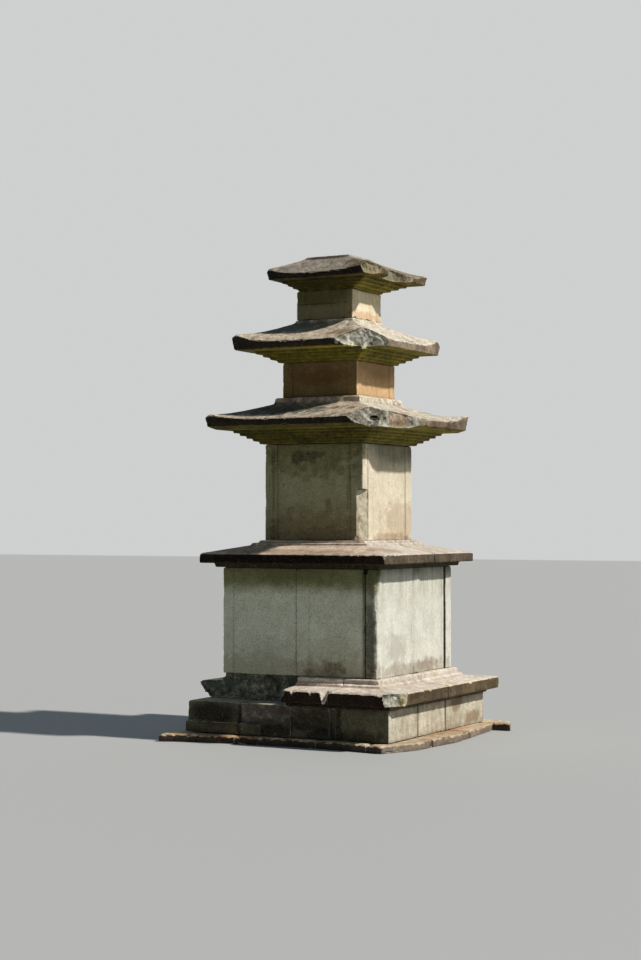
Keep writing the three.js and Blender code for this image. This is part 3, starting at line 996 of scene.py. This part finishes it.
LOOKS["base_stone"] = {
    "side": (colour(164, 154, 134), colour(210, 202, 182)), "mottle": (0.4, 0.6),
    "top": (colour(150, 140, 126), colour(200, 190, 170)),
    "under": (colour(70, 64, 44), colour(96, 88, 62)),
    "broken": (colour(90, 84, 74), colour(160, 152, 138)),
    "shaded_side": colour(134, 136, 122), "shaded_top": colour(240, 240, 236),
    "shaded_under": colour(200, 200, 190),
    "streak": colour(130, 114, 90), "streaks": 0.3, "lichen": colour(120, 112, 96),
    "lichens": 0.5, "worn": colour(214, 204, 186), "wear": 0.9, "specks": 0.5,
    "stains_and_painted_light": [
        (SOOT, 0.75, "plain", [((-600, -830, 206), (240, 60, 92))]),
        (DARK, 0.6, "soft", [((-600, -830, 206), (190, 60, 62)), ((-80, -828, 130), (230, 60, 70))]),
        (SOOT, 0.8, "soft", [((330, -828, 90), (130, 60, 60)), ((600, -828, 90), (180, 60, 60))]),
        (SOOT, 1.0, "soft", [((-385, -835, 160), (13, 60, 200)), ((430, -835, 160), (36, 60, 200))]),
        (DARK, 1.0, "soft", [((230, -828, 180), (190, 60, 120))]),
        (RUST, 0.7, "soft", [((-520, -843, 150), (160, 60, 60)), ((-30, -828, 250), (60, 60, 40))]),
        (BROWN, 0.8, "soft", [((828, 320, 240), (60, 130, 60)), ((828, 620, 120), (60, 160, 60))]),
        (SOOT, 0.8, "soft", [((828, -354, 160), (60, 8, 200)), ((828, 116, 160), (60, 9, 200))]),
    ],
}

# Cap stone

LOOKS["cap_stone"] = {
    "side": (colour(72, 63, 51), colour(109, 96, 77)), "mottle": (0.4, 0.6),
    "top": (colour(184, 171, 154), colour(228, 219, 206)),
    "under": (colour(46, 42, 24), colour(74, 68, 40)),
    "broken": (colour(88, 96, 84), colour(204, 200, 182)),
    "shaded_side": colour(114, 88, 76), "shaded_top": (1.1, 0.98, 0.9, 1.0),
    "shaded_under": colour(200, 196, 184),
    "streak": colour(60, 50, 42), "streaks": 0.6, "lichen": colour(136, 120, 106),
    "lichens": 0.5, "worn": colour(206, 192, 172), "wear": 0.5, "specks": 0.4,
    "stains_and_painted_light": [
        (BROWN, 0.6, "soft", [((62, -700, 1390), (500, 90, 60)), ((640, -500, 1400), (110, 200, 50))]),
        (DARK, 0.6, "soft", [((-450, -640, 1400), (260, 160, 60))]),
        (SOOT, 0.9, "soft", [((-60, -790, 1336), (800, 50, 42))]),
        (BROWN, 0.75, "plain", [((-60, -790, 1336), (820, 50, 42))]),
        (COOLER, 0.8, "plain", [((420, -925, 360), (560, 30, 60))]),
        # Painted light on the top of the lower cap's front and on its step risers, which face away from
        # the sun
        (PALER, 1.0, "plain", [((420, -800, 450), (560, 130, 60))]),
        (COOLER, 1.0, "plain", [((420, -690, 462), (560, 30, 34))]),
        (BROWN, 0.9, "soft", [((908, -776, 350), (30, 30, 40)), ((925, -560, 380), (20, 120, 30))]),
        (DARK, 0.5, "soft", [((0, -460, 1436), (460, 40, 8))]),
        (DARK, 0.6, "soft", [((540, -684, 464), (150, 30, 18)), ((300, -684, 474), (40, 30, 14))]),
        (colour(254, 246, 224), 1.0, "plain", [((925, 0, 360), (60, ALL_ROUND, 56))]),
    ],
}

# Slab stone

LOOKS["slab_stone"] = {
    "side": (colour(204, 202, 188), colour(234, 233, 223)), "mottle": (0.36, 0.64),
    "top": (colour(150, 146, 130), colour(180, 176, 160)),
    "under": (colour(80, 76, 50), colour(100, 96, 64)),
    "broken": (colour(130, 128, 116), colour(220, 218, 206)),
    "shaded_side": colour(250, 255, 242), "shaded_top": UNSHADED,
    "shaded_under": colour(200, 200, 190),
    "streak": colour(190, 184, 164), "streaks": 0.2, "lichen": colour(140, 138, 124),
    "lichens": 0.4, "worn": colour(236, 234, 224), "wear": 0.35, "specks": 0.55,
    "stains_and_painted_light": [
        # Darker and more olive towards the top of the front, below the cap: olive growth with painted
        # shade of the cap
        (OLIVE, 0.9, "plain", [((0, -635, 1290), (ALL_ROUND, 60, 210))]),
        (OLIVE, 0.5, "soft", [((-100, -635, 1250), (500, 60, 110))]),
        (DARK, 0.4, "plain", [((0, -635, 1300), (ALL_ROUND, 60, 200))]),
        (OLIVE, 0.35, "runs", [((640, 0, 1262), (60, ALL_ROUND, 230))]),
        # Painted shade of the cap along the top of the slabs' sunward faces
        (GREEN_SHADE, 0.85, "plain", [((660, 0, 1290), (40, ALL_ROUND, 116))]),
        (DARK, 0.5, "plain", [((572, -640, 880), (54, 24, ALL_ROUND))]),
        (BROWN, 0.4, "soft", [((0, -635, 490), (ALL_ROUND, 60, 150)), ((640, 60, 500), (60, 600, 100))]),
        (BROWN, 0.4, "soft", [((190, -635, 530), (210, 60, 70)), ((640, 240, 540), (60, 260, 50))]),
        (DARK, 0.6, "soft", [((292, -635, 540), (110, 50, 60)), ((81, -638, 520), (60, 50, 35))]),
        (SOOT, 0.8, "soft", [((590, -640, 700), (55, 30, 420))]),
        (DARK, 0.35, "soft", [((640, -306, 690), (60, 150, 110)), ((640, 0, 520), (60, 700, 60))]),
        (BROWN, 0.5, "runs", [((640, -60, 800), (60, 20, 420)), ((640, 480, 860), (60, 12, 420))]),
        (DARK, 0.2, "soft", [((-290, -635, 610), (360, 60, 160)), ((250, -635, 620), (300, 60, 160))]),
        (SOOT, 1.0, "plain", [((548, -640, 880), (8, 24, ALL_ROUND)),
                              ((640, 525, 880), (24, 15, ALL_ROUND))]),
        (DARK, 0.5, "plain", [((-19, -640, 880), (6, 24, ALL_ROUND))]),
    ],
}

# Body stone

LOOKS["body_stone"] = {
    "side": (colour(208, 196, 170), colour(238, 227, 204)), "mottle": (0.36, 0.64),
    "top": (colour(150, 140, 120), colour(180, 168, 146)),
    "under": (colour(70, 64, 44), colour(90, 84, 60)),
    "broken": (colour(140, 132, 114), colour(206, 196, 172)),
    "shaded_side": colour(178, 186, 168), "shaded_top": UNSHADED,
    "shaded_under": colour(200, 200, 190),
    "streak": colour(190, 172, 138), "streaks": 0.25, "lichen": colour(140, 132, 112),
    "lichens": 0.4, "worn": colour(238, 226, 202), "wear": 0.35, "specks": 0.45,
    "stains_and_painted_light": [
        # Darker and olive towards the top of the front, below roof 1: olive growth with painted shade of
        # the eave
        (OLIVE, 0.9, "soft", [((0, -403, 2200), (600, 60, 270))]),
        (BROWN, 0.65, "soft", [((0, -405, 1540), (520, 40, 190)), ((0, -405, 1500), (520, 40, 90))]),
        # Painted shade of roof 1's eave along the top of the body's sunward face
        (GREEN_SHADE, 0.7, "plain", [((412, 150, 2188), (60, 500, 165))]),
        (DARK, 0.4, "runs", [((412, 150, 2160), (60, 500, 130))]),
        (BROWN, 0.4, "soft", [((412, 240, 1600), (60, 420, 170))]),
        (DARK, 0.4, "soft", [((60, -405, 1510), (330, 40, 80)), ((376, -412, 2030), (46, 40, 190))]),
        (SOOT, 0.6, "soft", [((-132, -403, 2072), (64, 40, 66)), ((10, -403, 2100), (76, 40, 34)),
                             ((57, -403, 1938), (14, 40, 14))]),
        (DARK, 0.5, "soft", [((-16, -403, 1987), (18, 40, 18)), ((-260, -403, 1885), (14, 40, 20)),
                             ((121, -403, 1762), (26, 40, 22)), ((-60, -403, 2090), (130, 40, 50))]),
        (DARK, 0.7, "runs", [((-330, -410, 1800), (70, 40, 330)), ((291, -403, 1900), (20, 40, 300))]),
        (BROWN, 0.6, "soft", [((412, 60, 1490), (60, 330, 40))]),
    ],
}

# Warm body stone

LOOKS["warm_body_stone"] = {
    "side": (colour(216, 202, 172), colour(241, 231, 205)), "mottle": (0.4, 0.6),
    "top": (colour(140, 124, 96), colour(170, 152, 120)),
    "under": (colour(70, 60, 40), colour(90, 78, 54)),
    "broken": (colour(140, 124, 100), colour(190, 172, 140)),
    "shaded_side": colour(140, 140, 120), "shaded_top": UNSHADED,
    "shaded_under": colour(200, 200, 190),
    "streak": colour(186, 160, 120), "streaks": 0.3, "lichen": colour(130, 116, 92),
    "lichens": 0.4, "worn": colour(232, 216, 184), "wear": 0.3, "specks": 0.4,
    "stains_and_painted_light": [
        (colour(230, 202, 176), 1.0, "plain", [((0, 0, 2660), (ALL_ROUND, ALL_ROUND, 240))]),
        (RUST, 0.6, "soft", [((238, 0, 3155), (60, 300, 40)), ((0, -315, 2690), (260, 60, 70))]),
        (DARK, 0.8, "soft", [((-60, -238, 3246), (300, 40, 7))]),
        (PALER, 1.0, "plain", [((0, -330, 2660), (420, 60, 240))]),
        # Painted shade of roof 2's eave along the top of body 2's sunward face
        (DARK, 0.5, "plain", [((315, 40, 2803), (60, 380, 150))]),
        (OLIVE, 0.8, "plain", [((-60, -238, 3320), (300, 40, 110))]),
    ],
}

# Roof stone

LOOKS["roof_stone"] = {
    "side": (colour(106, 92, 77), colour(164, 147, 126)), "mottle": (0.4, 0.6),
    "top": (colour(172, 158, 138), colour(238, 229, 211)),
    "under": (colour(82, 76, 22), colour(136, 126, 46)),
    "broken": (colour(96, 90, 76), colour(196, 194, 180)),
    "shaded_side": colour(86, 78, 74), "shaded_top": colour(236, 228, 220),
    "shaded_under": colour(196, 196, 176),
    "streak": colour(76, 66, 56), "streaks": 0.5, "lichen": colour(98, 87, 72),
    "lichens": 0.65, "worn": colour(212, 203, 188), "wear": 0.5, "specks": 0.45,
    "stains_and_painted_light": [
        (DARK, 0.3, "soft", [((450, 0, 3560), (330, 900, 140))]),
        (DARK, 0.6, "soft", [((-100, -420, 3388), (700, 280, 60))]),
        (colour(204, 208, 214), 1.0, "plain", [((0, 0, 3520), (ALL_ROUND, ALL_ROUND, 130))]),
        (colour(236, 222, 198), 1.0, "plain", [((520, 0, 3500), (330, ALL_ROUND, 160))]),
        (WARMER, 1.0, "plain", [((480, -360, 3480), (120, 130, 90)), ((600, 60, 3440), (150, 320, 70))]),
        # Painted bounce light on roof 2's underside and on roof 3's underside towards the sun
        (BRIGHTER, 1.0, "plain", [((0, -440, 2830), (640, 300, 116))]),
        (BRIGHTER, 0.4, "plain", [((430, 0, 3380), (230, ALL_ROUND, 70))]),
        # Painted highlight along roof 1's near hip
        (PALER, 1.0, "soft", [((450, -390, 2470), (70, 80, 44)), ((560, -450, 2425), (60, 60, 40))]),
        (DARK, 0.35, "plain", [((765, 0, 2340), (60, ALL_ROUND, 64))]),
        (colour(238, 214, 198), 1.0, "plain", [((640, -290, 2360), (60, 150, 80))]),
        (BROWN, 0.8, "soft", [((650, -290, 2326), (70, 200, 32))]),
        # Painted shade of the roofs above on the front slopes of roofs 1 and 2
        (SKY_SHADE, 1.0, "soft", [((-340, -520, 2450), (560, 210, 90))]),
        (PALE_SHADE, 1.0, "soft", [((-260, -330, 3060), (400, 170, 90))]),
        # Painted shade in the recess of roof 2's broken corner
        (DARK, 1.0, "soft", [((520, -410, 2915), (66, 62, 48))]),
        (SOOT, 0.35, "soft", [((560, -362, 2915), (50, 50, 50))]),
        (SOOT, 0.9, "plain", [((-10, -206, 3598), (250, 30, 18))]),
        (RUST, 0.7, "soft", [((470, 160, 3450), (60, 60, 30))]),
        (RUST, 0.3, "soft", [((738, 160, 2350), (40, 120, 40))]),
        (BROWN, 0.8, "runs", [((740, 440, 2350), (40, 100, 60))]),
        (BROWN, 0.9, "soft", [((234, -510, 2446), (44, 50, 30)), ((300, -495, 2452), (40, 46, 30)),
                              ((372, -525, 2441), (40, 44, 30)), ((280, -500, 3000), (120, 90, 40))]),
    ],
}


# Stage: the floor's half size in metres, the sun's width in degrees, and how far each light reaches

SUN_FROM = (0.986, 0.163, 1.0)
SUN_STRENGTH = 4.1
SUN_WIDTH = 2.5
SUN_COLOUR = (1.0, 0.97, 0.92)
FLOOR_SIZE = 60
FLOOR_COLOUR = (0.43, 0.43, 0.42, 1)
FLOOR_ROUGHNESS = 0.9
BACKDROP = (0.62, 0.63, 0.63, 1)
BACKDROP_REACH = (0.35, 0.9)
OVERHEAD = (0.11, 0.16, 0.21, 1)
OVERHEAD_REACH = (0.3, 0.75)
DIM_SIDE = (0.12, 0.13, 0.13, 1)


def make_floor():
    mesh = bpy.data.meshes.new("floor")
    form = bmesh.new()
    bmesh.ops.create_grid(form, x_segments=2, y_segments=2, size=FLOOR_SIZE)
    form.to_mesh(mesh)
    form.free()
    floor = add_object("floor", mesh)
    paint = bpy.data.materials.new("pale_floor")
    paint.use_nodes = True
    shader = paint.node_tree.nodes["Principled BSDF"]
    shader.inputs["Base Color"].default_value = FLOOR_COLOUR
    shader.inputs["Roughness"].default_value = FLOOR_ROUGHNESS
    floor.data.materials.append(paint)


def make_lights():
    """A soft sun from the right, a pale backdrop low behind and a dimmer room elsewhere."""
    world = bpy.data.worlds.new("studio")
    world.use_nodes = True
    tree = Tree(world.node_tree)
    way = tree.make("ShaderNodeTexCoord").outputs["Generated"]

    def towards(direction, low, high):
        """A share that grows from 0 to 1 as the way turns towards the direction."""
        inputs = {0: way, 1: direction}
        dot = tree.make("ShaderNodeVectorMath", inputs, operation="DOT_PRODUCT").outputs["Value"]
        return tree.ramp(dot, low, high)

    turn = math.radians(CAMERA_TURN)
    behind = (-math.sin(turn), math.cos(turn), 0)
    room = tree.mix(towards(behind, *BACKDROP_REACH), DIM_SIDE, BACKDROP)
    sky = tree.mix(towards((0, 0, 1), *OVERHEAD_REACH), room, OVERHEAD)
    tree.fill(world.node_tree.nodes["Background"], {0: sky})
    bpy.context.scene.world = world

    sun = bpy.data.lights.new("sun", "SUN")
    sun.energy = SUN_STRENGTH
    sun.angle = math.radians(SUN_WIDTH)
    sun.color = SUN_COLOUR
    lamp = add_object("sun", sun)
    lamp.rotation_euler = Vector(SUN_FROM).to_track_quat("Z", "Y").to_euler()


# Putting it together

make_camera()
make_floor()
make_lights()
bpy.context.scene.view_settings.view_transform = "Standard"
materials = {slot: stone_material(slot, look) for slot, look in LOOKS.items()}
slots = {part["node"]: part["material_slot"] for part in frame["record"]["subparts"]}

for number, name in enumerate(sorted(frame["nodes"]), start=1):
    wear, seed = entry_for(name, WEAR), number * SEED_STEP
    stone = welded_copy(name)
    for index, (owners, middle, halves, turn, _) in enumerate(HOLLOWS):
        if name in owners:
            cut_hollow(stone, middle, halves, turn, index)
    voxel = wear["voxel"] * 1
    remesh(stone, voxel)
    if is_chipped(name):
        chip_edges(stone, name, seed)
        remesh(stone, voxel)
    weather(stone, name, wear, seed)
    thin_out(stone, wear["faces"] * (1))
    stone.data.materials.clear()
    stone.data.materials.append(materials[slots[name]])
    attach(stone, "root")
    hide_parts(name)
